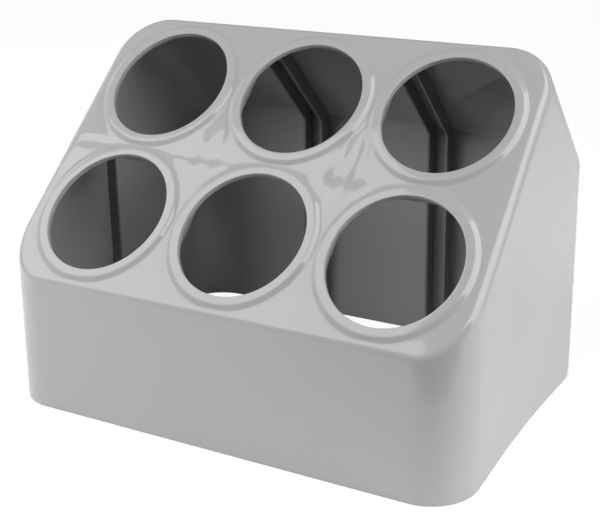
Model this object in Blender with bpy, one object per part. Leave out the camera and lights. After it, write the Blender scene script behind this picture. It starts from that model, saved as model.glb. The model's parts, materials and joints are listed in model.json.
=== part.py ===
"""Countertop dispenser housing for six flatware cylinders.

An open-bottomed glossy plastic hood with a sloped panel of six holes, two rows
of three.  Thin plates bonded inside stiffen it: four hoops that run up the back
wall, over the rear slope and under the panel between the columns, two cross
plates that lock into them between the rows, and one upright on each side wall.

Units are metres, +Z is up, the front wall faces -Y, and the origin is the
middle of the base.
"""

import math

import bmesh
import bpy
from mathutils import Vector
from mathutils.geometry import delaunay_2d_cdt

# Outside size of the hood.
WIDTH = 0.400
DEPTH = 0.282
FRONT_HEIGHT = 0.109
RIDGE_HEIGHT = 0.2935
BACK_HEIGHT = 0.1995
RIDGE_SETBACK = 0.186
WALL = 0.0025

# Rounding of the hood's edges.
FRONT_CORNER_RADIUS = 0.039
REAR_CORNER_RADIUS = 0.0425
PANEL_EDGE_RADIUS = 0.0065
REAR_BEND_RADIUS = 0.009

# The side walls draw in a little at the open base, most at mid-depth.
SIDE_DRAW_IN = 0.0042
SIDE_DRAW_IN_HEIGHT = 0.170
DRAW_IN_POWER = 1.5

# The six holes and the raised ring around each one.
COLUMN_PITCH = 0.127
ROW_POSITIONS = (0.0673, 0.1923)
HOLE_RADIUS = 0.05225
RING_OUTER_RADIUS = 0.0620
RING_STEP_WIDTH = 0.0032
RING_HEIGHT = 0.0021
RING_LIP_RADIUS = 0.0007

# Stiffening plates.  Every joint is left open by JOINT_GAP for the adhesive.
PLATE_THICKNESS = 0.002
JOINT_GAP = 0.0003
HOOP_OFFSET = 0.0088
HOOP_DEPTH_BACK = 0.014
HOOP_DEPTH_REAR_SLOPE = 0.012
HOOP_DEPTH_PANEL = 0.0053
CROSS_PLATE_OFFSET = 0.0086
CROSS_PLATE_DEPTH = 0.0052
SIDE_PLATE_SETBACK = 0.1343
SIDE_PLATE_DEPTH = 0.009
SIDE_PLATE_LEVELS = 6
PLATE_FOOT_HEIGHT = 0.003

# Colours and gloss of the two plastics.
HOOD_COLOUR = (0.56, 0.57, 0.58)
HOOD_ROUGHNESS = 0.22
PLATE_COLOUR = (0.54, 0.55, 0.56)
PLATE_ROUGHNESS = 0.35

# Fineness of the curved surfaces.
CORNER_STEPS = 8
BEND_STEPS = 4
EDGE_STEPS = 5
LOWER_REAR_STEPS = 2
LOWER_FRONT_STEPS = LOWER_REAR_STEPS + BEND_STEPS + 2
SIDE_STEPS = 8
LONG_STEPS = 4
HOLE_STEPS = 40
RING_STEP_STEPS = 4
RING_LIP_STEPS = 3
SHARP_ANGLE = math.radians(32)
SMALLEST_TURN = 1e-6
FILL_TOLERANCE = 1e-7
FILL_INSIDE_RIM = 1

HALF_WIDTH = WIDTH / 2
FRONT_Y = -DEPTH / 2
BACK_Y = DEPTH / 2
RIDGE_Y = FRONT_Y + RIDGE_SETBACK

SIDE = Vector((1.0, 0.0, 0.0))
BACK = Vector((0.0, 1.0, 0.0))
UP = Vector((0.0, 0.0, 1.0))
CREASE_POINT = Vector((0.0, FRONT_Y, FRONT_HEIGHT))
RIDGE_POINT = Vector((0.0, RIDGE_Y, RIDGE_HEIGHT))
BEND_POINT = Vector((0.0, BACK_Y, BACK_HEIGHT))
PANEL_UP = (RIDGE_POINT - CREASE_POINT).normalized()
PANEL_OUT = SIDE.cross(PANEL_UP)
REAR_SLOPE_UP = (RIDGE_POINT - BEND_POINT).normalized()
REAR_SLOPE_OUT = REAR_SLOPE_UP.cross(SIDE)


def draw_in(point):
    """Move a point inward by the bow of the open base, which fades upward."""
    if point.z > SIDE_DRAW_IN_HEIGHT:
        return point.copy()
    bow = max(0.0, math.sin(math.pi * (point.y - FRONT_Y) / DEPTH)) ** DRAW_IN_POWER
    fade = (1.0 - point.z / SIDE_DRAW_IN_HEIGHT) ** DRAW_IN_POWER
    narrowing = SIDE_DRAW_IN / HALF_WIDTH * bow * fade
    return Vector((point.x * (1.0 - narrowing), point.y, point.z))


def turn(start, end, steps):
    """Unit vectors that turn evenly from start to end."""
    angle = start.angle(end)
    if angle < SMALLEST_TURN:
        return [start.copy() for _ in range(steps + 1)]
    return [
        (start * math.sin((1 - i / steps) * angle) + end * math.sin(i / steps * angle))
        / math.sin(angle)
        for i in range(steps + 1)
    ]


def spread(start, end, count):
    """Points strictly between start and end, evenly spaced."""
    return [start.lerp(end, i / (count + 1)) for i in range(1, count + 1)]


def to_panel(point, direction, depth):
    """Follow direction from point to the plane that lies depth below the panel."""
    height = PANEL_OUT.dot(CREASE_POINT) - depth - PANEL_OUT.dot(point)
    return point + direction * (height / PANEL_OUT.dot(direction))


def front_column(side, angle, inset):
    """Rising line of points on a front corner, from the base onto the panel."""
    outward = Vector((side * math.cos(angle), -math.sin(angle), 0.0))
    axis = Vector(
        (
            side * (HALF_WIDTH - FRONT_CORNER_RADIUS),
            FRONT_Y + FRONT_CORNER_RADIUS,
            0.0,
        )
    )
    base = axis + outward * (FRONT_CORNER_RADIUS - inset)
    foot = axis + outward * (FRONT_CORNER_RADIUS - PANEL_EDGE_RADIUS)
    centre = to_panel(foot, UP, PANEL_EDGE_RADIUS)
    radius = PANEL_EDGE_RADIUS - inset
    edge = [centre + d * radius for d in turn(outward, PANEL_OUT, EDGE_STEPS)]
    return [base, *spread(base, edge[0], LOWER_FRONT_STEPS), *edge]


def rear_column(side, angle, inset):
    """Rising line of points on a rear corner, round the bend and onto the panel."""
    outward = side * math.cos(angle) * SIDE + math.sin(angle) * BACK
    tilted = side * math.cos(angle) * SIDE + math.sin(angle) * REAR_SLOPE_OUT
    axis = Vector(
        (
            side * (HALF_WIDTH - REAR_CORNER_RADIUS),
            BACK_Y - REAR_CORNER_RADIUS,
            0.0,
        )
    )

    def on_mitre(radius):
        point = axis + outward * (REAR_CORNER_RADIUS - radius)
        setback = BACK_Y - point.y
        drop = setback * (1.0 - REAR_SLOPE_OUT.y) / REAR_SLOPE_OUT.z
        return point + UP * (BACK_HEIGHT - drop)

    base = axis + outward * (REAR_CORNER_RADIUS - inset)
    bend_centre = on_mitre(REAR_BEND_RADIUS)
    bend = [
        bend_centre + d * (REAR_BEND_RADIUS - inset)
        for d in turn(outward, tilted, BEND_STEPS)
    ]
    centre = to_panel(on_mitre(PANEL_EDGE_RADIUS), REAR_SLOPE_UP, PANEL_EDGE_RADIUS)
    radius = PANEL_EDGE_RADIUS - inset
    edge = [centre + d * radius for d in turn(tilted, PANEL_OUT, EDGE_STEPS)]
    lower = spread(base, bend[0], LOWER_REAR_STEPS)
    return [base, *lower, *bend, *spread(bend[-1], edge[0], 1), *edge]


def hood_columns(inset):
    """All rising lines round the hood, anticlockwise from the front right."""
    quarter = [math.pi / 2 * i / CORNER_STEPS for i in range(CORNER_STEPS + 1)]
    corners = [
        [front_column(1, a, inset) for a in reversed(quarter)],
        [rear_column(1, a, inset) for a in quarter],
        [rear_column(-1, a, inset) for a in reversed(quarter)],
        [front_column(-1, a, inset) for a in quarter],
    ]
    columns = []
    for index, corner in enumerate(corners):
        following = corners[(index + 1) % len(corners)]
        steps = SIDE_STEPS if index % 2 == 0 else LONG_STEPS
        columns += corner
        for i in range(1, steps):
            pairs = zip(corner[-1], following[0])
            columns.append([a.lerp(b, i / steps) for a, b in pairs])
    return [[draw_in(point) for point in column] for column in columns]


def panel_point(x, along, height):
    """A point given by its place on the panel and its height above it."""
    return CREASE_POINT + SIDE * x + PANEL_UP * along + PANEL_OUT * height


def ring_profile():
    """Radius and height pairs from the foot of a ring's step to the underside."""
    pairs = []
    for i in range(RING_STEP_STEPS + 1):
        share = i / RING_STEP_STEPS
        rise = RING_HEIGHT * (1.0 - math.cos(math.pi * share)) / 2
        pairs.append((RING_OUTER_RADIUS - RING_STEP_WIDTH * share, rise))
    for i in range(RING_LIP_STEPS + 1):
        angle = math.pi / 2 * i / RING_LIP_STEPS
        radius = HOLE_RADIUS + RING_LIP_RADIUS * (1.0 - math.sin(angle))
        rise = RING_HEIGHT - RING_LIP_RADIUS * (1.0 - math.cos(angle))
        pairs.append((radius, rise))
    return [*pairs, (HOLE_RADIUS, -WALL)]


def hole_centres():
    """Column x and distance up the panel of each of the six holes."""
    return [(c * COLUMN_PITCH, row) for row in ROW_POSITIONS for c in (-1, 0, 1)]


def close_loop(mesh, lower, upper):
    """Quads between two closed loops with the same number of vertices."""
    count = len(lower)
    for i in range(count):
        j = (i + 1) % count
        mesh.faces.new((lower[i], lower[j], upper[j], upper[i]))


def on_panel(point):
    """Place on the panel as x and distance up the slope."""
    return Vector((point.x, PANEL_UP.dot(point - CREASE_POINT)))


def fill_panel(mesh, rim, holes):
    """Flat faces between the rim of the panel and the loops round its holes."""
    vertices = []
    owners = []
    edges = []
    for owner, loop in enumerate((rim, *holes)):
        start = len(vertices)
        count = len(loop)
        vertices += loop
        owners += [owner] * count
        edges += [(start + i, start + (i + 1) % count) for i in range(count)]
    places = [on_panel(vertex.co) for vertex in vertices]
    filled = delaunay_2d_cdt(places, edges, [], FILL_INSIDE_RIM, FILL_TOLERANCE)
    sources = [group[0] for group in filled[3]]
    for triangle in filled[2]:
        corners = [sources[i] for i in triangle]
        touched = {owners[i] for i in corners}
        inside_a_hole = len(touched) == 1 and 0 not in touched
        if not inside_a_hole:
            mesh.faces.new([vertices[i] for i in corners])


def add_skin(mesh, inset):
    """One skin of the hood below the flat of the panel, as its rows of vertices."""
    rows = [[mesh.verts.new(point) for point in row] for row in zip(*hood_columns(inset))]
    for lower, upper in zip(rows, rows[1:]):
        close_loop(mesh, lower, upper)
    return rows


def add_hole(mesh, x, along):
    """Ring and bore of one hole; returns its outermost and its lowest loop."""
    loops = []
    for radius, rise in ring_profile():
        loop = []
        for i in range(HOLE_STEPS):
            angle = 2 * math.pi * i / HOLE_STEPS
            across = x + radius * math.cos(angle)
            place = along + radius * math.sin(angle)
            loop.append(mesh.verts.new(panel_point(across, place, rise)))
        loops.append(loop)
    for lower, upper in zip(loops, loops[1:]):
        close_loop(mesh, lower, upper)
    return loops[0], loops[-1]


def build_hood():
    """The hood as one closed shell with its six ringed holes."""
    mesh = bmesh.new()
    outer = add_skin(mesh, 0.0)
    inner = add_skin(mesh, WALL)
    close_loop(mesh, inner[0], outer[0])
    holes = [add_hole(mesh, x, along) for x, along in hole_centres()]
    fill_panel(mesh, outer[-1], [upper for upper, _ in holes])
    fill_panel(mesh, inner[-1], [lower for _, lower in holes])
    return mesh


def build_plate(outline, across):
    """A flat plate of PLATE_THICKNESS whose outline is swept along across."""
    mesh = bmesh.new()
    half = across * (PLATE_THICKNESS / 2)
    near = [mesh.verts.new(point - half) for point in outline]
    far = [mesh.verts.new(point + half) for point in outline]
    mesh.faces.new(near)
    mesh.faces.new(list(reversed(far)))
    close_loop(mesh, near, far)
    return mesh


def meet(normal_a, depth_a, point_a, normal_b, depth_b, point_b):
    """Point in the side view where two inset straight lines cross."""
    level_a = normal_a.dot(point_a) - depth_a
    level_b = normal_b.dot(point_b) - depth_b
    scale = normal_a.y * normal_b.z - normal_a.z * normal_b.y
    y = (level_a * normal_b.z - level_b * normal_a.z) / scale
    z = (normal_a.y * level_b - normal_b.y * level_a) / scale
    return Vector((0.0, y, z))


def rounded_corner(first, second, point_a, point_b, radius, inset, steps):
    """Points of an outside corner that stays inset behind the hood's rounding."""
    centre = meet(first, radius, point_a, second, radius, point_b)
    return [centre + d * (radius - inset) for d in turn(first, second, steps)]


def hoop_outline():
    """Side view of a hoop: front end, panel leg, rear slope leg and back leg."""
    inset = WALL + JOINT_GAP
    outer = [
        *rounded_corner(
            -BACK, PANEL_OUT, CREASE_POINT, CREASE_POINT, PANEL_EDGE_RADIUS, inset, 3
        ),
        *rounded_corner(
            PANEL_OUT,
            REAR_SLOPE_OUT,
            CREASE_POINT,
            BEND_POINT,
            PANEL_EDGE_RADIUS,
            inset,
            EDGE_STEPS,
        ),
        *rounded_corner(
            REAR_SLOPE_OUT,
            BACK,
            BEND_POINT,
            BEND_POINT,
            REAR_BEND_RADIUS,
            inset,
            BEND_STEPS,
        ),
        Vector((0.0, BACK_Y - inset, PLATE_FOOT_HEIGHT)),
    ]
    panel_depth = inset + HOOP_DEPTH_PANEL
    slope_depth = inset + HOOP_DEPTH_REAR_SLOPE
    back_depth = inset + HOOP_DEPTH_BACK
    inner = [
        Vector((0.0, BACK_Y - back_depth, PLATE_FOOT_HEIGHT)),
        meet(
            BACK, back_depth, BEND_POINT, REAR_SLOPE_OUT, slope_depth, BEND_POINT
        ),
        meet(
            REAR_SLOPE_OUT, slope_depth, BEND_POINT, PANEL_OUT, panel_depth, CREASE_POINT
        ),
        *hoop_slots(panel_depth),
        meet(PANEL_OUT, panel_depth, CREASE_POINT, -BACK, inset, CREASE_POINT),
    ]
    return [*outer, *inner]


def cross_plate_positions():
    """Distance up the panel of the two cross plates."""
    middle = sum(ROW_POSITIONS) / 2
    return (middle - CROSS_PLATE_OFFSET, middle + CROSS_PLATE_OFFSET)


def hoop_slots(panel_depth):
    """Slots in a hoop's panel leg that take the two cross plates."""
    half = PLATE_THICKNESS / 2 + JOINT_GAP
    top = WALL + JOINT_GAP + HOOP_DEPTH_PANEL / 2 - JOINT_GAP / 2
    points = []
    for along in reversed(cross_plate_positions()):
        points += [
            panel_point(0.0, along + half, -panel_depth),
            panel_point(0.0, along + half, -top),
            panel_point(0.0, along - half, -top),
            panel_point(0.0, along - half, -panel_depth),
        ]
    return points


def hoop_positions():
    """Name and x of the four hoops, two between each pair of columns."""
    middle = COLUMN_PITCH / 2
    return {
        "hoop_plate_left_outer": -middle - HOOP_OFFSET,
        "hoop_plate_left_inner": -middle + HOOP_OFFSET,
        "hoop_plate_right_inner": middle - HOOP_OFFSET,
        "hoop_plate_right_outer": middle + HOOP_OFFSET,
    }


def cross_plate_outline():
    """Front view of a cross plate, slotted from above to straddle the hoops."""
    upper = -WALL - JOINT_GAP
    lower = upper - CROSS_PLATE_DEPTH
    floor = upper - CROSS_PLATE_DEPTH / 2 - JOINT_GAP / 2
    upper_end = HALF_WIDTH - WALL - JOINT_GAP - PANEL_EDGE_RADIUS
    lower_end = upper_end + CROSS_PLATE_DEPTH
    half = PLATE_THICKNESS / 2 + JOINT_GAP
    points = [(-lower_end, lower), (lower_end, lower), (upper_end, upper)]
    for x in sorted(hoop_positions().values(), reverse=True):
        points += [(x + half, upper), (x + half, floor), (x - half, floor), (x - half, upper)]
    points.append((-upper_end, upper))
    return [SIDE * x + PANEL_OUT * rise for x, rise in points]


def side_plate_outline(side):
    """Front view of a side wall's upright, which follows the drawn-in wall."""
    wall = HALF_WIDTH - WALL - JOINT_GAP
    y = FRONT_Y + SIDE_PLATE_SETBACK
    front_face = Vector((0.0, y - PLATE_THICKNESS / 2, 0.0))
    top = to_panel(front_face, UP, WALL + JOINT_GAP).z
    rise = (SIDE_DRAW_IN_HEIGHT - PLATE_FOOT_HEIGHT) / (SIDE_PLATE_LEVELS - 1)
    heights = [PLATE_FOOT_HEIGHT + rise * i for i in range(SIDE_PLATE_LEVELS)]
    root = [(wall, z) for z in heights]
    root += [(wall, top - PANEL_EDGE_RADIUS), (wall - PANEL_EDGE_RADIUS, top)]
    tip = [(wall - SIDE_PLATE_DEPTH, top)]
    tip += [(wall - SIDE_PLATE_DEPTH, z) for z in reversed(heights)]
    return [draw_in(Vector((side * x, y, z))) for x, z in [*root, *tip]]


def plastic(name, colour, roughness):
    """A glossy moulded plastic in one colour."""
    material = bpy.data.materials.new(name)
    material.use_nodes = True
    shader = material.node_tree.nodes["Principled BSDF"]
    shader.inputs["Base Color"].default_value = (*colour, 1.0)
    shader.inputs["Roughness"].default_value = roughness
    shader.inputs["Metallic"].default_value = 0.0
    return material


def add_piece(name, mesh, location, colour, roughness):
    """Turn a mesh into a named object with its origin at location."""
    bmesh.ops.recalc_face_normals(mesh, faces=mesh.faces)
    bmesh.ops.triangulate(mesh, faces=mesh.faces)
    data = bpy.data.meshes.new(name)
    mesh.to_mesh(data)
    mesh.free()
    data.shade_smooth()
    data.set_sharp_from_angle(angle=SHARP_ANGLE)
    data.materials.append(plastic(name + "_plastic", colour, roughness))
    piece = bpy.data.objects.new(name, data)
    bpy.context.scene.collection.objects.link(piece)
    piece.location = location
    return piece


def add_plate(name, outline, across, location, hood):
    """A plate bonded inside the hood, its outline given round its own origin."""
    plate = build_plate(outline, across)
    piece = add_piece(name, plate, location, PLATE_COLOUR, PLATE_ROUGHNESS)
    piece.parent = hood


def add_hoops(hood):
    """Four hoops, a pair between each two columns of holes."""
    for name, x in hoop_positions().items():
        add_plate(name, hoop_outline(), SIDE, SIDE * x, hood)


def add_cross_plates(hood):
    """Two plates across the hood between the rows, locked into the hoops."""
    names = ("cross_plate_front", "cross_plate_rear")
    for name, along in zip(names, cross_plate_positions()):
        add_plate(name, cross_plate_outline(), PANEL_UP, panel_point(0.0, along, 0.0), hood)


def add_side_plates(hood):
    """One upright on each side wall."""
    for name, side in (("side_plate_left", -1), ("side_plate_right", 1)):
        origin = Vector((side * HALF_WIDTH, FRONT_Y + SIDE_PLATE_SETBACK, 0.0))
        outline = [point - origin for point in side_plate_outline(side)]
        add_plate(name, outline, BACK, origin, hood)


def clear_scene():
    """Remove whatever the scene starts with."""
    for item in list(bpy.data.objects):
        bpy.data.objects.remove(item, do_unlink=True)


def main():
    clear_scene()
    hood = add_piece("housing_shell", build_hood(), Vector(), HOOD_COLOUR, HOOD_ROUGHNESS)
    add_hoops(hood)
    add_cross_plates(hood)
    add_side_plates(hood)


main()
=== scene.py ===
"""Looks of a countertop holder for six flatware cylinders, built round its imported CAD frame."""

import json
import math

import bmesh
import bpy
from mathutils import Matrix, Vector
from mathutils.geometry import delaunay_2d_cdt


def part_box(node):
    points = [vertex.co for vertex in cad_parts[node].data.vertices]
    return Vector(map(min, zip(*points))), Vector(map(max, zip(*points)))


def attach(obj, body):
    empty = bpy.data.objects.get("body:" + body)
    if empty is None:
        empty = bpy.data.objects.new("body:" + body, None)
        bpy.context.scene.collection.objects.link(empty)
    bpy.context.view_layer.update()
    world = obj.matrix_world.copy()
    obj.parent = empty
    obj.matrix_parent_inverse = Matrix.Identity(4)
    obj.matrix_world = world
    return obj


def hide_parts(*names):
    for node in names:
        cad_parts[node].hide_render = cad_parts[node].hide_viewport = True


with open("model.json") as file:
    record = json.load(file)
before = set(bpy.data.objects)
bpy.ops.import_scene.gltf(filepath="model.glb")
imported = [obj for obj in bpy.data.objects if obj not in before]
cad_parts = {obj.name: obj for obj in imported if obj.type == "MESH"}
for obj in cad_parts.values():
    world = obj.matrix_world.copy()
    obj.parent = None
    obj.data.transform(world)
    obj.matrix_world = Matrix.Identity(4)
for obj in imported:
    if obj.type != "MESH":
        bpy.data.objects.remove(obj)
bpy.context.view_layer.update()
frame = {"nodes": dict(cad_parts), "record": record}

# ---------------------------------------------------------------------------
# Places taken from the frame
# ---------------------------------------------------------------------------
SIDE = Vector((1.0, 0.0, 0.0))
BACK = Vector((0.0, 1.0, 0.0))
UP = Vector((0.0, 0.0, 1.0))

HOOD_LOW, HOOD_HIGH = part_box("housing_shell")
HALF_WIDTH = HOOD_HIGH.x
FRONT_Y = HOOD_LOW.y
BACK_Y = HOOD_HIGH.y
DEPTH = BACK_Y - FRONT_Y

SEATS = [m for m in frame["record"]["mounts"] if m["name"].startswith("ring_seat")]
PANEL_OUT = Vector(SEATS[0]["axis"]).normalized()
PANEL_UP = PANEL_OUT.cross(SIDE)

# ---------------------------------------------------------------------------
# Dimensions of the hood that its box doesn't show
# ---------------------------------------------------------------------------
BACK_HEIGHT = 0.1995
RIDGE_SETBACK = 0.186
WALL = 0.0025
FRONT_CORNER_RADIUS = 0.039
REAR_CORNER_RADIUS = 0.0425
PANEL_EDGE_RADIUS = 0.0065
REAR_BEND_RADIUS = 0.009
SIDE_DRAW_IN = 0.0042
SIDE_DRAW_IN_HEIGHT = 0.170
DRAW_IN_POWER = 1.5
SEAT_RADIUS = 0.0564
HOLE_RADIUS = 0.05225
RING_OUTER_RADIUS = 0.0634
RING_STEP_WIDTH = 0.0050
RING_FLAT_RADIUS = RING_OUTER_RADIUS - RING_STEP_WIDTH
RING_STEP_ROUNDING = 0.25
RING_REACH_ALONG = 0.0624
RING_HEIGHT = 0.0021
RING_LIP_RADIUS = 0.0007
BORE_EDGE_RADIUS = 0.0006
RIM_EDGE_RADIUS = 0.0007

# Sink marks on the panel over the hoops, along the line between the rows and where these cross.
# They are drawn deeper than real ones, so that they show in the gloss.
HOOP_SINK_DEPTH = 0.00035
ROW_SINK_LINE = 0.1278
ROW_SINK_DEPTH = 0.00018
SINK_SPREAD = 0.0026
CROSSING_SINK_DEPTH = 0.0011
CROSSING_SINK_SPREAD = 0.0045
LEFT_SINK_SHARE = 0.3
SINK_FADE = 0.012

# Fineness of the visible mesh.
CORNER_STEPS = 28
BEND_STEPS = 10
EDGE_STEPS = 10
LOWER_REAR_STEPS = 14
UPPER_REAR_STEPS = 8
LOWER_FRONT_STEPS = LOWER_REAR_STEPS + BEND_STEPS + UPPER_REAR_STEPS
SIDE_STEPS = 26
LONG_STEPS = 36
HOLE_STEPS = 160
RING_STEP_STEPS = 10
RING_FLAT_STEPS = 3
RING_LIP_STEPS = 7
BORE_EDGE_STEPS = 3
RIM_STEPS = 4
PANEL_GRID = 0.0032
GRID_CLEARANCE = 0.0016
OUTER_SKIN_LEVEL = -WALL / 4
SMALLEST_TURN = 1e-6
FILL_TOLERANCE = 1e-7
FILL_INSIDE_RIM = 1
SHARP_ANGLE = math.radians(40)

SEAT_POINT = Vector(SEATS[0]["pos_m"])
PANEL_LEVEL = PANEL_OUT.dot(SEAT_POINT) - RING_HEIGHT
CREASE_POINT = Vector((0.0, FRONT_Y, (PANEL_LEVEL - PANEL_OUT.y * FRONT_Y) / PANEL_OUT.z))
RIDGE_POINT = CREASE_POINT + PANEL_UP * (RIDGE_SETBACK / PANEL_UP.y)
BEND_POINT = Vector((0.0, BACK_Y, BACK_HEIGHT))
REAR_SLOPE_UP = (RIDGE_POINT - BEND_POINT).normalized()
REAR_SLOPE_OUT = REAR_SLOPE_UP.cross(SIDE)


def on_panel(point):
    """Place on the panel as x and distance up the slope."""
    return Vector((point.x, PANEL_UP.dot(point - CREASE_POINT)))


def panel_point(x, along, height):
    """A point given by its place on the panel and its height above it."""
    return CREASE_POINT + SIDE * x + PANEL_UP * along + PANEL_OUT * height


def hole_centres():
    """Place on the panel of each hole's centre."""
    return [on_panel(Vector(seat["pos_m"]) - SIDE * SEAT_RADIUS) for seat in SEATS]


def middle(node, axis):
    """Middle of a CAD node's box along one axis."""
    low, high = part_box(node)
    return (low[axis] + high[axis]) / 2


HOLES = hole_centres()
HOOP_LINES = [middle(n, 0) for n in sorted(frame["nodes"]) if n.startswith("hoop_plate")]


# ---------------------------------------------------------------------------
# Hood
# ---------------------------------------------------------------------------
def draw_in(point):
    """Move a point inward by the bow of the open base, which fades upward."""
    if point.z > SIDE_DRAW_IN_HEIGHT:
        return point.copy()
    bow = max(0.0, math.sin(math.pi * (point.y - FRONT_Y) / DEPTH)) ** DRAW_IN_POWER
    fade = (1.0 - point.z / SIDE_DRAW_IN_HEIGHT) ** DRAW_IN_POWER
    narrowing = SIDE_DRAW_IN / HALF_WIDTH * bow * fade
    return Vector((point.x * (1.0 - narrowing), point.y, point.z))


def turn(start, end, steps):
    """Unit vectors that turn evenly from start to end."""
    angle = start.angle(end)
    if angle < SMALLEST_TURN:
        return [start.copy() for _ in range(steps + 1)]
    return [
        (start * math.sin((1 - i / steps) * angle) + end * math.sin(i / steps * angle))
        / math.sin(angle)
        for i in range(steps + 1)
    ]


def spread(start, end, count):
    """Points strictly between start and end, evenly spaced."""
    return [start.lerp(end, i / (count + 1)) for i in range(1, count + 1)]


def to_panel(point, direction, depth):
    """Follow direction from point to the plane that lies depth below the panel."""
    height = PANEL_LEVEL - depth - PANEL_OUT.dot(point)
    return point + direction * (height / PANEL_OUT.dot(direction))


def front_column(side, angle, inset):
    """Rising line of points on a front corner, from the base onto the panel."""
    outward = Vector((side * math.cos(angle), -math.sin(angle), 0.0))
    axis = Vector((side * (HALF_WIDTH - FRONT_CORNER_RADIUS), FRONT_Y + FRONT_CORNER_RADIUS, 0.0))
    base = axis + outward * (FRONT_CORNER_RADIUS - inset) + UP * RIM_EDGE_RADIUS
    foot = axis + outward * (FRONT_CORNER_RADIUS - PANEL_EDGE_RADIUS)
    centre = to_panel(foot, UP, PANEL_EDGE_RADIUS)
    radius = PANEL_EDGE_RADIUS - inset
    edge = [centre + d * radius for d in turn(outward, PANEL_OUT, EDGE_STEPS)]
    return [base, *spread(base, edge[0], LOWER_FRONT_STEPS + 1), *edge]


def rear_column(side, angle, inset):
    """Rising line of points on a rear corner, round the bend and onto the panel."""
    outward = side * math.cos(angle) * SIDE + math.sin(angle) * BACK
    tilted = side * math.cos(angle) * SIDE + math.sin(angle) * REAR_SLOPE_OUT
    axis = Vector((side * (HALF_WIDTH - REAR_CORNER_RADIUS), BACK_Y - REAR_CORNER_RADIUS, 0.0))

    def on_mitre(radius):
        point = axis + outward * (REAR_CORNER_RADIUS - radius)
        setback = BACK_Y - point.y
        drop = setback * (1.0 - REAR_SLOPE_OUT.y) / REAR_SLOPE_OUT.z
        return point + UP * (BACK_HEIGHT - drop)

    base = axis + outward * (REAR_CORNER_RADIUS - inset) + UP * RIM_EDGE_RADIUS
    bend_centre = on_mitre(REAR_BEND_RADIUS)
    bend_radius = REAR_BEND_RADIUS - inset
    bend = [bend_centre + d * bend_radius for d in turn(outward, tilted, BEND_STEPS)]
    centre = to_panel(on_mitre(PANEL_EDGE_RADIUS), REAR_SLOPE_UP, PANEL_EDGE_RADIUS)
    radius = PANEL_EDGE_RADIUS - inset
    edge = [centre + d * radius for d in turn(tilted, PANEL_OUT, EDGE_STEPS)]
    lower = spread(base, bend[0], LOWER_REAR_STEPS)
    return [base, *lower, *bend, *spread(bend[-1], edge[0], UPPER_REAR_STEPS), *edge]


def hood_columns(inset):
    """All rising lines round the hood, anticlockwise from the front right."""
    quarter = [math.pi / 2 * i / CORNER_STEPS for i in range(CORNER_STEPS + 1)]
    corners = [
        [front_column(1, a, inset) for a in reversed(quarter)],
        [rear_column(1, a, inset) for a in quarter],
        [rear_column(-1, a, inset) for a in reversed(quarter)],
        [front_column(-1, a, inset) for a in quarter],
    ]
    columns = []
    for index, corner in enumerate(corners):
        following = corners[(index + 1) % len(corners)]
        steps = SIDE_STEPS if index % 2 == 0 else LONG_STEPS
        columns += corner
        for i in range(1, steps):
            columns.append([a.lerp(b, i / steps) for a, b in zip(corner[-1], following[0])])
    return [[draw_in(point) for point in column] for column in columns]


def smooth(share):
    """Smooth rise from 0 to 1, held at both ends."""
    held = min(1.0, max(0.0, share))
    return held * held * (3.0 - 2.0 * held)


def bell(offset, spread):
    """Height of a bell curve at an offset from its middle."""
    return math.exp(-((offset / spread) ** 2) / 2)


def sink(place):
    """Depth of the moulding marks at a place on the panel, clear of its edges and the rings."""
    x, along = place
    end = (RIDGE_POINT - CREASE_POINT).length
    margin = min(HALF_WIDTH - abs(x), along, end - along) - PANEL_EDGE_RADIUS
    off_ring = min((place - hole).length for hole in HOLES) - RING_FLAT_RADIUS
    depth = ROW_SINK_DEPTH * bell(along - ROW_SINK_LINE, SINK_SPREAD)
    for line in HOOP_LINES:
        reach = math.hypot(x - line, along - ROW_SINK_LINE)
        hoop = HOOP_SINK_DEPTH * bell(x - line, SINK_SPREAD)
        crossing = CROSSING_SINK_DEPTH * bell(reach, CROSSING_SINK_SPREAD)
        share = 1.0 if line > 0.0 else LEFT_SINK_SHARE
        depth += share * (hoop + crossing)
    return depth * smooth(margin / SINK_FADE) * smooth(off_ring / RING_STEP_WIDTH)


def step_rise(share):
    """Height share of a ring's step, straight in the middle and rounded at both ends."""
    rounding = RING_STEP_ROUNDING
    if share > 0.5:
        return 1.0 - step_rise(1.0 - share)
    if share < rounding:
        return share**2 / (2 * rounding * (1.0 - rounding))
    return (share - rounding / 2) / (1.0 - rounding)


def clipped_radius(radius, angle):
    """Radius drawn in so that the rings of the two rows stay clear of each other."""
    steepness = abs(math.sin(angle))
    if radius <= RING_FLAT_RADIUS or RING_OUTER_RADIUS * steepness <= RING_REACH_ALONG:
        return radius
    room = RING_REACH_ALONG / steepness - RING_FLAT_RADIUS
    return RING_FLAT_RADIUS + (radius - RING_FLAT_RADIUS) * room / RING_STEP_WIDTH


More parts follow.
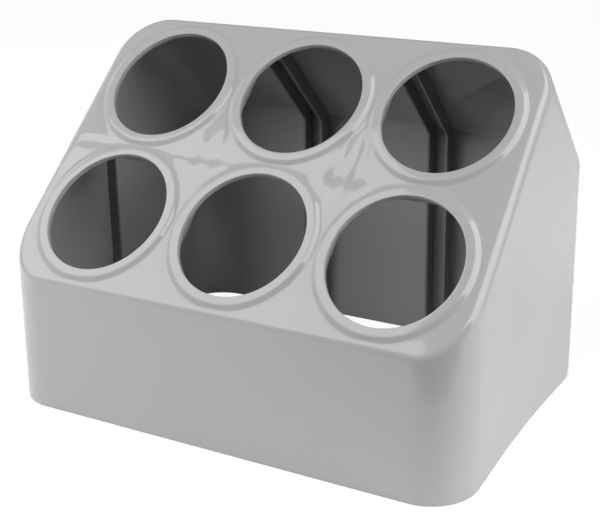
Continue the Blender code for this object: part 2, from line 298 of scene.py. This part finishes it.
def ring_profile():
    """Radius and height pairs from the foot of a ring's step to the underside."""
    pairs = []
    for i in range(RING_STEP_STEPS + 1):
        share = i / RING_STEP_STEPS
        rise = RING_HEIGHT * step_rise(share)
        pairs.append((RING_OUTER_RADIUS - RING_STEP_WIDTH * share, rise))
    flat_width = RING_FLAT_RADIUS - HOLE_RADIUS - RING_LIP_RADIUS
    for i in range(1, RING_FLAT_STEPS):
        pairs.append((RING_FLAT_RADIUS - flat_width * i / RING_FLAT_STEPS, RING_HEIGHT))
    for i in range(RING_LIP_STEPS + 1):
        angle = math.pi / 2 * i / RING_LIP_STEPS
        radius = HOLE_RADIUS + RING_LIP_RADIUS * (1.0 - math.sin(angle))
        rise = RING_HEIGHT - RING_LIP_RADIUS * (1.0 - math.cos(angle))
        pairs.append((radius, rise))
    for i in range(BORE_EDGE_STEPS + 1):
        angle = math.pi / 2 * i / BORE_EDGE_STEPS
        radius = HOLE_RADIUS + BORE_EDGE_RADIUS * (1.0 - math.cos(angle))
        rise = -WALL + BORE_EDGE_RADIUS * (1.0 - math.sin(angle))
        pairs.append((radius, rise))
    return pairs


def close_loop(mesh, lower, upper):
    """Quads between two closed loops with the same number of vertices."""
    count = len(lower)
    for i in range(count):
        j = (i + 1) % count
        mesh.faces.new((lower[i], lower[j], upper[j], upper[i]))


def inside_outline(place, outline):
    """Whether a place lies inside a closed outline."""
    inside = False
    for a, b in zip(outline, outline[1:] + outline[:1]):
        if (a.y > place.y) != (b.y > place.y):
            if place.x < a.x + (b.x - a.x) * (place.y - a.y) / (b.y - a.y):
                inside = not inside
    return inside


def grid_places(outline, hole_radius):
    """Places on an even triangle grid that are clear of the outline and the holes."""
    low = Vector((min(p.x for p in outline), min(p.y for p in outline)))
    high = Vector((max(p.x for p in outline), max(p.y for p in outline)))
    centre = (low + high) / 2
    scale_x = 1.0 - 2 * GRID_CLEARANCE / (high.x - low.x)
    scale_y = 1.0 - 2 * GRID_CLEARANCE / (high.y - low.y)
    clear_outline = [
        Vector((centre.x + (p.x - centre.x) * scale_x, centre.y + (p.y - centre.y) * scale_y))
        for p in outline
    ]
    row_pitch = PANEL_GRID * math.sqrt(3) / 2
    places = []
    for row in range(int((high.y - low.y) / row_pitch) + 1):
        offset = PANEL_GRID / 2 * (row % 2)
        for column in range(int((high.x - low.x) / PANEL_GRID) + 1):
            place = low + Vector((offset + column * PANEL_GRID, row * row_pitch))
            clear = all((place - hole).length > hole_radius + GRID_CLEARANCE for hole in HOLES)
            if clear and inside_outline(place, clear_outline):
                places.append(place)
    return places


def fill_panel(mesh, rim, holes, height, hole_radius):
    """Even triangles between the rim of the panel and the loops round its holes."""
    vertices = []
    owners = []
    edges = []
    for owner, loop in enumerate((rim, *holes)):
        start = len(vertices)
        count = len(loop)
        vertices += loop
        owners += [owner] * count
        edges += [(start + i, start + (i + 1) % count) for i in range(count)]
    places = [on_panel(vertex.co) for vertex in vertices]
    for place in grid_places(places[: len(rim)], hole_radius):
        vertices.append(mesh.verts.new(panel_point(place.x, place.y, height)))
        owners.append(-1)
        places.append(place)
    filled = delaunay_2d_cdt(places, edges, [], FILL_INSIDE_RIM, FILL_TOLERANCE)
    _, _, triangles, origins, _, _ = filled
    sources = [group[0] for group in origins]
    for triangle in triangles:
        corners = [sources[i] for i in triangle]
        touched = {owners[i] for i in corners}
        inside_a_hole = len(touched) == 1 and min(touched) > 0
        if not inside_a_hole:
            mesh.faces.new([vertices[i] for i in corners])


def add_skin(mesh, inset):
    """One skin of the hood below the flat of the panel, as its rows of vertices."""
    rows = [[mesh.verts.new(point) for point in row] for row in zip(*hood_columns(inset))]
    for lower, upper in zip(rows, rows[1:]):
        close_loop(mesh, lower, upper)
    return rows


def add_rim(mesh, inner, outer):
    """Rounded lower rim between the feet of the two skins."""
    edge = RIM_EDGE_RADIUS
    quarter = [math.pi / 2 * i / RIM_STEPS for i in range(RIM_STEPS + 1)]
    inner_arc = [(edge * (1.0 - math.cos(a)), edge * math.sin(a)) for a in quarter]
    outer_arc = [(WALL - shift, drop) for shift, drop in reversed(inner_arc)]
    loops = [inner]
    for shift, drop in (*inner_arc[1:], *outer_arc[:-1]):
        loop = []
        for a, b in zip(inner, outer):
            across = (b.co - a.co).normalized()
            loop.append(mesh.verts.new(a.co + across * shift - UP * drop))
        loops.append(loop)
    loops.append(outer)
    for lower, upper in zip(loops, loops[1:]):
        close_loop(mesh, lower, upper)


def add_hole(mesh, centre):
    """Ring and bore of one hole; returns its outermost and its lowest loop."""
    loops = []
    for radius, rise in ring_profile():
        loop = []
        for i in range(HOLE_STEPS):
            angle = 2 * math.pi * i / HOLE_STEPS
            clipped = clipped_radius(radius, angle)
            across = centre.x + clipped * math.cos(angle)
            place = centre.y + clipped * math.sin(angle)
            loop.append(mesh.verts.new(panel_point(across, place, rise)))
        loops.append(loop)
    for lower, upper in zip(loops, loops[1:]):
        close_loop(mesh, lower, upper)
    return loops[0], loops[-1]


def build_hood():
    """The hood as one closed shell with its six ringed holes and its sink marks."""
    mesh = bmesh.new()
    outer = add_skin(mesh, 0.0)
    inner = add_skin(mesh, WALL)
    add_rim(mesh, inner[0], outer[0])
    holes = [add_hole(mesh, centre) for centre in HOLES]
    fill_panel(mesh, outer[-1], [upper for upper, _ in holes], 0.0, RING_OUTER_RADIUS)
    fill_panel(
        mesh, inner[-1], [lower for _, lower in holes], -WALL, HOLE_RADIUS + BORE_EDGE_RADIUS
    )
    for vertex in mesh.verts:
        level = PANEL_OUT.dot(vertex.co) - PANEL_LEVEL
        if level > OUTER_SKIN_LEVEL:
            vertex.co -= PANEL_OUT * sink(on_panel(vertex.co))
    bmesh.ops.recalc_face_normals(mesh, faces=mesh.faces)
    return mesh


def make_piece(name, mesh, material):
    """Turn a mesh into a smooth-shaded object."""
    data = bpy.data.meshes.new(name)
    mesh.to_mesh(data)
    mesh.free()
    data.shade_smooth()
    data.set_sharp_from_angle(angle=SHARP_ANGLE)
    data.materials.append(material)
    piece = bpy.data.objects.new(name, data)
    bpy.context.scene.collection.objects.link(piece)
    return piece


# ---------------------------------------------------------------------------
# Materials
# ---------------------------------------------------------------------------
HOOD_GREY = 0.30
# The plates are the same plastic as the hood; their darker grey is painted shade for the shade they
# sit in inside the hood.
PLATE_PAINTED_SHADE_GREY = 0.18
HOOD_GLOSS_ROUGHNESS = 0.03
PLATE_GLOSS_ROUGHNESS = 0.16
PLASTIC_IOR = 1.5
NOISE_RANGE = (0.25, 0.75)
CLOUD_SCALE = 9.0
CLOUD_DETAIL = 3.0
CLOUD_STRENGTH = 0.02
SMEAR_SCALE = 60.0
SMEAR_DETAIL = 4.0
SMEAR_STRENGTH = 0.2
WAVE_SCALE = 14.0
WAVE_DETAIL = 1.0
WAVE_HEIGHT = 0.00025
PEEL_SCALE = 1400.0
PEEL_DETAIL = 2.0
PEEL_HEIGHT = 0.000003
RUB_LOW = 0.53
RUB_HIGH = 0.62
RUB_LIGHTENING = 0.04
RUB_ROUGHENING = 0.08


class NodeKit:
    """Helpers that add and link the nodes of one node tree."""

    def __init__(self, tree):
        self.tree = tree

    def put(self, node, socket, value):
        """Set a socket to a value, or feed it from another node's output."""
        if isinstance(value, bpy.types.NodeSocket):
            self.tree.links.new(value, node.inputs[socket])
        else:
            node.inputs[socket].default_value = value

    def node(self, kind, settings=None, **inputs):
        """Add a node with its settings and inputs."""
        made = self.tree.nodes.new(kind)
        for key, value in (settings or {}).items():
            setattr(made, key, value)
        for key, value in inputs.items():
            self.put(made, key.replace("_", " "), value)
        return made

    def noise(self, vector, scale, detail):
        """A noise value round 0.5."""
        made = self.node("ShaderNodeTexNoise", Vector=vector, Scale=scale, Detail=detail)
        return made.outputs["Fac"]

    def remap(self, value, old, new, kind="LINEAR"):
        """Map the range old to the range new, held at its ends."""
        made = self.node(
            "ShaderNodeMapRange",
            {"interpolation_type": kind},
            Value=value,
            From_Min=old[0],
            From_Max=old[1],
            To_Min=new[0],
            To_Max=new[1],
        )
        return made.outputs["Result"]

    def maths(self, operation, first, second=0.0):
        """A maths node on one or two values."""
        made = self.node("ShaderNodeMath", {"operation": operation})
        self.put(made, 0, first)
        self.put(made, 1, second)
        return made.outputs["Value"]

    def vector_maths(self, operation, first, second):
        """A vector maths node that gives one value."""
        made = self.node("ShaderNodeVectorMath", {"operation": operation})
        self.put(made, 0, first)
        self.put(made, 1, second)
        return made.outputs["Value"]

    def bump(self, height, distance, **normal):
        """A bump node that raises the surface by up to distance."""
        made = self.node("ShaderNodeBump", Height=height, Distance=distance, Strength=1.0, **normal)
        return made.outputs["Normal"]


class Shader(NodeKit):
    """A new material with its node helpers."""

    def __init__(self, name):
        self.material = bpy.data.materials.new(name)
        self.material.use_nodes = True
        super().__init__(self.material.node_tree)
        self.surface = self.tree.nodes["Principled BSDF"]


def moulded_plastic(name, grey, roughness):
    """Glossy moulded plastic with faint clouds, uneven gloss, rubbed edges, waves and peel."""
    shader = Shader(name)
    place = shader.node("ShaderNodeTexCoord").outputs["Object"]
    pointiness = shader.node("ShaderNodeNewGeometry").outputs["Pointiness"]
    rub = shader.remap(pointiness, (RUB_LOW, RUB_HIGH), (0.0, 1.0))
    cloud = shader.remap(
        shader.noise(place, CLOUD_SCALE, CLOUD_DETAIL),
        NOISE_RANGE,
        (grey * (1.0 - CLOUD_STRENGTH), grey * (1.0 + CLOUD_STRENGTH)),
    )
    tone = shader.maths("ADD", cloud, shader.maths("MULTIPLY", rub, grey * RUB_LIGHTENING))
    colour = shader.node("ShaderNodeCombineColor", Red=tone, Green=tone, Blue=tone)
    shader.put(shader.surface, "Base Color", colour.outputs["Color"])
    gloss = shader.remap(
        shader.noise(place, SMEAR_SCALE, SMEAR_DETAIL),
        NOISE_RANGE,
        (roughness * (1.0 - SMEAR_STRENGTH), roughness * (1.0 + SMEAR_STRENGTH)),
    )
    rubbed = shader.maths("ADD", gloss, shader.maths("MULTIPLY", rub, RUB_ROUGHENING))
    shader.put(shader.surface, "Roughness", rubbed)
    shader.put(shader.surface, "IOR", PLASTIC_IOR)
    waves = shader.bump(shader.noise(place, WAVE_SCALE, WAVE_DETAIL), WAVE_HEIGHT)
    peel = shader.bump(shader.noise(place, PEEL_SCALE, PEEL_DETAIL), PEEL_HEIGHT, Normal=waves)
    shader.put(shader.surface, "Normal", peel)
    return shader.material


# ---------------------------------------------------------------------------
# Stage
# ---------------------------------------------------------------------------
FLOOR_SIZE = 12.0
FLOOR_DROP = 0.0002
FLOOR_GREY = 0.86
FLOOR_ROUGHNESS = 0.6
FLOOR_SEEN_WHITE = 0.96
TABLE_EDGE = 0.364
TABLE_SOFTNESS = 0.03
ROOM_GREY = 0.03

WHITE = (1.0, 1.0, 1.0, 1.0)
SKY_LEVEL = 0.25
DARK_AZIMUTH = math.radians(30)
DARK_SIDE = Vector((math.sin(DARK_AZIMUTH), -math.cos(DARK_AZIMUTH), 0.0))
DARK_EDGE = (0.52, 0.64)

KEY_RADIANCE = 2.6
KEY_CORNER = Vector((-0.365, -0.262, 1.2))
KEY_TURN = math.radians(8)
KEY_SIZE = (1.3, 0.65)
RIGHT_RADIANCE = 4.3
RIGHT_PLACE = Vector((1.275, -0.325, 1.2))
RIGHT_SIZE = (2.05, 1.2)
SIDE_RADIANCE = 2.6
SIDE_PLACE = Vector((2.4, -0.1, 0.6))
SIDE_SIZE = (1.6, 1.2)
LEFT_RADIANCE = 1.3
LEFT_PLACE = Vector((-1.9, 0.0, 0.95))
LEFT_SIZE = (1.3, 0.6)
RIGHT_FILL_RADIANCE = 1.9
RIGHT_FILL_PLACE = Vector((0.8, -0.36, 1.3))
RIGHT_FILL_SIZE = (1.1, 1.1)
REAR_FILL_RADIANCE = 1.4
REAR_FILL_PLACE = Vector((-1.0, 1.6, 0.6))
REAR_FILL_SIZE = (1.6, 0.9)
SIDE_FILL_RADIANCE = 10.2
SIDE_FILL_PLACE = Vector((1.7, 0.1, 0.7))
SIDE_FILL_SIZE = (1.2, 0.8)
FRONT_FILL_RADIANCE = 6.5
FRONT_FILL_PLACE = Vector((-0.8, -1.4, 1.45))
FRONT_FILL_SIZE = (1.4, 0.8)
LEFT_FILL_RADIANCE = 5.0
LEFT_FILL_PLACE = Vector((-1.5, -1.3, 0.8))
LEFT_FILL_SIZE = (1.2, 1.0)
SOFTBOX_TARGET = Vector((0.0, 0.0, 0.15))

CAMERA_PLACE = Vector((0.456268, -0.781365, 0.429075))
CAMERA_AZIMUTH = math.radians(25.564)
CAMERA_ELEVATION = math.radians(14.445)
CAMERA_ROLL = math.radians(0.634)
CAMERA_LENS = 68.751
CAMERA_SENSOR = 36.0
CAMERA_SHIFT = {"shift_x": -0.16009, "shift_y": -0.17976}
SHIFT_TOLERANCE = 0.001


def add_floor():
    """Pale floor, seen nearly white, with a dark room beyond its edge behind the camera."""
    mesh = bmesh.new()
    bmesh.ops.create_grid(mesh, x_segments=2, y_segments=2, size=FLOOR_SIZE)
    shader = Shader("floor_pale")
    place = shader.node("ShaderNodeNewGeometry").outputs["Position"]
    room = shader.remap(
        shader.vector_maths("DOT_PRODUCT", place, DARK_SIDE),
        (TABLE_EDGE - TABLE_SOFTNESS, TABLE_EDGE + TABLE_SOFTNESS),
        (0.0, 1.0),
        "SMOOTHSTEP",
    )
    grey = shader.remap(room, (0.0, 1.0), (FLOOR_GREY, ROOM_GREY))
    shader.put(shader.surface, "Base Color", grey)
    shader.put(shader.surface, "Roughness", FLOOR_ROUGHNESS)
    pale = shader.node("ShaderNodeBsdfDiffuse", Color=(FLOOR_GREY, FLOOR_GREY, FLOOR_GREY, 1.0))
    white = shader.node("ShaderNodeEmission", Color=WHITE, Strength=1.0)
    seen = shader.node("ShaderNodeMixShader")
    shader.put(seen, 0, FLOOR_SEEN_WHITE)
    shader.put(seen, 1, pale.outputs[0])
    shader.put(seen, 2, white.outputs[0])
    choice = shader.node("ShaderNodeMixShader")
    shader.put(choice, 0, shader.node("ShaderNodeLightPath").outputs["Is Camera Ray"])
    shader.put(choice, 1, shader.surface.outputs[0])
    shader.put(choice, 2, seen.outputs[0])
    shader.put(shader.tree.nodes["Material Output"], "Surface", choice.outputs[0])
    floor = make_piece("floor", mesh, shader.material)
    floor.location.z = -FLOOR_DROP


def add_world():
    """Even studio light, dark behind the camera and seen as white by the camera."""
    world = bpy.data.worlds.new("studio")
    bpy.context.scene.world = world
    world.use_nodes = True
    nodes = NodeKit(world.node_tree)
    direction = nodes.node("ShaderNodeTexCoord").outputs["Generated"]
    facing = nodes.vector_maths("DOT_PRODUCT", direction, DARK_SIDE)
    sky = nodes.tree.nodes["Background"]
    nodes.put(sky, "Color", WHITE)
    nodes.put(sky, "Strength", nodes.remap(facing, DARK_EDGE, (SKY_LEVEL, 0.0), "SMOOTHSTEP"))
    white = nodes.node("ShaderNodeBackground", Color=WHITE)
    choice = nodes.node("ShaderNodeMixShader")
    nodes.put(choice, 0, nodes.node("ShaderNodeLightPath").outputs["Is Camera Ray"])
    nodes.put(choice, 1, sky.outputs[0])
    nodes.put(choice, 2, white.outputs[0])
    nodes.put(nodes.tree.nodes["World Output"], "Surface", choice.outputs[0])


def add_softbox(name, place, size, radiance, target=SOFTBOX_TARGET, spin=0.0, role="both"):
    """A rectangular area light: a "card" shows only in the gloss, a "fill" only lights."""
    data = bpy.data.lights.new(name, "AREA")
    data.shape = "RECTANGLE"
    data.size, data.size_y = size
    data.energy = radiance * math.pi * data.size * data.size_y
    light = bpy.data.objects.new(name, data)
    bpy.context.scene.collection.objects.link(light)
    light.location = place
    light.visible_glossy = role != "fill"
    light.visible_diffuse = role != "card"
    data.cycles.use_multiple_importance_sampling = role != "fill"
    aim = (target - place).to_track_quat("-Z", "Y").to_matrix()
    light.rotation_euler = (aim @ Matrix.Rotation(spin, 3, "Z")).to_euler()


def add_key_softbox():
    """The wide softbox overhead on the left, level with the floor, set by its corner."""
    reach = Vector((-KEY_SIZE[0], -KEY_SIZE[1], 0.0)) / 2
    centre = KEY_CORNER + Matrix.Rotation(KEY_TURN, 3, "Z") @ reach
    add_softbox("key_softbox", centre, KEY_SIZE, KEY_RADIANCE, centre - UP, KEY_TURN)


def add_camera():
    """The camera, whose lens shift holds only while it stays at its own place."""
    data = bpy.data.cameras.new("camera")
    data.sensor_width = CAMERA_SENSOR
    data.lens = CAMERA_LENS
    camera = bpy.data.objects.new("camera", data)
    bpy.context.scene.collection.objects.link(camera)
    camera.location = CAMERA_PLACE
    camera.rotation_euler = (
        Matrix.Rotation(CAMERA_AZIMUTH, 3, "Z")
        @ Matrix.Rotation(math.pi / 2 - CAMERA_ELEVATION, 3, "X")
        @ Matrix.Rotation(CAMERA_ROLL, 3, "Z")
    ).to_euler()
    for setting, shift in CAMERA_SHIFT.items():
        driver = data.driver_add(setting).driver
        across = driver.variables.new()
        across.name = "x"
        across.targets[0].id = camera
        across.targets[0].data_path = "location[0]"
        at_home = f"abs(x - {CAMERA_PLACE.x:.6f}) < {SHIFT_TOLERANCE}"
        driver.expression = f"{shift} if {at_home} else 0.0"
    bpy.context.scene.camera = camera


# ---------------------------------------------------------------------------
# Assembly
# ---------------------------------------------------------------------------
hood_plastic = moulded_plastic("hood_gloss_plastic", HOOD_GREY, HOOD_GLOSS_ROUGHNESS)
# The plates' material carries painted shade in its darker grey.
plate_painted_shade_plastic = moulded_plastic("plate_gloss_plastic_painted_shade", PLATE_PAINTED_SHADE_GREY, PLATE_GLOSS_ROUGHNESS)

hood = make_piece("hood", build_hood(), hood_plastic)
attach(hood, "root")
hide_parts("housing_shell")

# Every part but the hood gets the plate material with its painted shade.
for name, node in frame["nodes"].items():
    if name != "housing_shell":
        node.data.materials.clear()
        node.data.materials.append(plate_painted_shade_plastic)

add_floor()
add_world()
add_key_softbox()
add_softbox("right_card", RIGHT_PLACE, RIGHT_SIZE, RIGHT_RADIANCE, RIGHT_PLACE - UP, role="card")
add_softbox("side_card", SIDE_PLACE, SIDE_SIZE, SIDE_RADIANCE, role="card")
add_softbox("right_fill", RIGHT_FILL_PLACE, RIGHT_FILL_SIZE, RIGHT_FILL_RADIANCE, role="fill")
add_softbox("left_softbox", LEFT_PLACE, LEFT_SIZE, LEFT_RADIANCE)
add_softbox("side_fill", SIDE_FILL_PLACE, SIDE_FILL_SIZE, SIDE_FILL_RADIANCE, role="fill")
add_softbox("rear_fill", REAR_FILL_PLACE, REAR_FILL_SIZE, REAR_FILL_RADIANCE, role="fill")
add_softbox("front_fill", FRONT_FILL_PLACE, FRONT_FILL_SIZE, FRONT_FILL_RADIANCE, role="fill")
add_softbox("left_fill", LEFT_FILL_PLACE, LEFT_FILL_SIZE, LEFT_FILL_RADIANCE, role="fill")
add_camera()

bpy.context.scene.view_settings.view_transform = "Standard"
